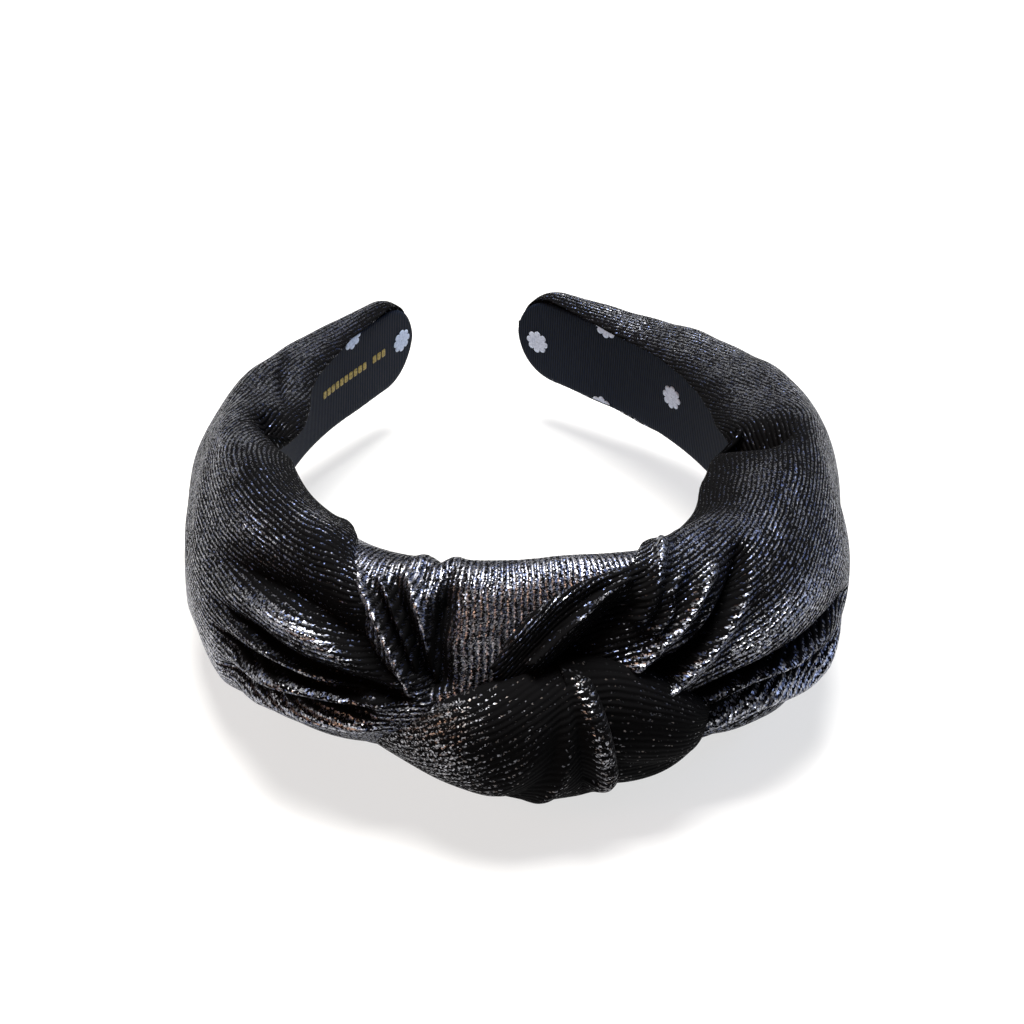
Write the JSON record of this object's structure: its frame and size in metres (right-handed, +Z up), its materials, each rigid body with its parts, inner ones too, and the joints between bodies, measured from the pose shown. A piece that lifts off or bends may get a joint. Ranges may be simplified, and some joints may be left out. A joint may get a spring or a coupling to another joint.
{
  "type": "padded headband",
  "caption": "Padded headband with a turban knot in front, gathered fabric sleeves over foam, a springy plastic core whose arms bend open, and a ribbon lining glued along the inside.",
  "frame": {"origin": "middle of the base of the object's box, on the surface that the headband lies on, on its side edge", "axes": "+Z up, across the width of the band; the knot faces -Y and the two tips point to +Y; +X is the side of the right arm, seen from above with the knot towards the viewer"},
  "size_m": [0.16, 0.187, 0.0591],
  "materials": {
    "core": "black moulded ABS strip, satin",
    "foam": "grey closed-cell foam strip",
    "wadding": "white polyester wadding",
    "tape": "double-sided adhesive tape, clear amber",
    "lining": "navy grosgrain ribbon with small pale florets and a row of gold dashes",
    "cover": "black ribbed velvet with metallic glitter thread",
    "panel": "black ribbed velvet with metallic glitter thread, ribs across the band",
    "knot": "black ribbed velvet with metallic glitter thread, folded into a knot"
  },
  "bodies": {
    "crown": {"core_crown": "core", "foam_crown": "foam", "wadding_crown": "wadding", "tape_crown": "tape", "lining_crown": "lining", "crown_panel": "panel", "gather_left": "cover", "gather_right": "cover", "knot_wrap": "knot", "knot_lobe": "knot", "knot_wadding": "wadding"},
    "left_arm": {"core_left_arm": "core", "foam_left_arm": "foam", "wadding_left_arm": "wadding", "tape_left_arm": "tape", "lining_left_arm": "lining", "sleeve_left": "cover"},
    "right_arm": {"core_right_arm": "core", "foam_right_arm": "foam", "wadding_right_arm": "wadding", "tape_right_arm": "tape", "lining_right_arm": "lining", "sleeve_right": "cover"}
  },
  "joints": [
    {"name": "left_flex", "type": "hinge", "parent": "crown", "child": "left_arm", "pos_m": [-0.04117, -0.04609, 0.0286], "axis": [0, 0, 1], "range_deg": [-3, 20], "stiffness_Nm_per_rad": 0.6},
    {"name": "right_flex", "type": "hinge", "parent": "crown", "child": "right_arm", "pos_m": [0.04117, -0.04609, 0.0286], "axis": [0, 0, -1], "range_deg": [-3, 20], "stiffness_Nm_per_rad": 0.6}
  ]
}
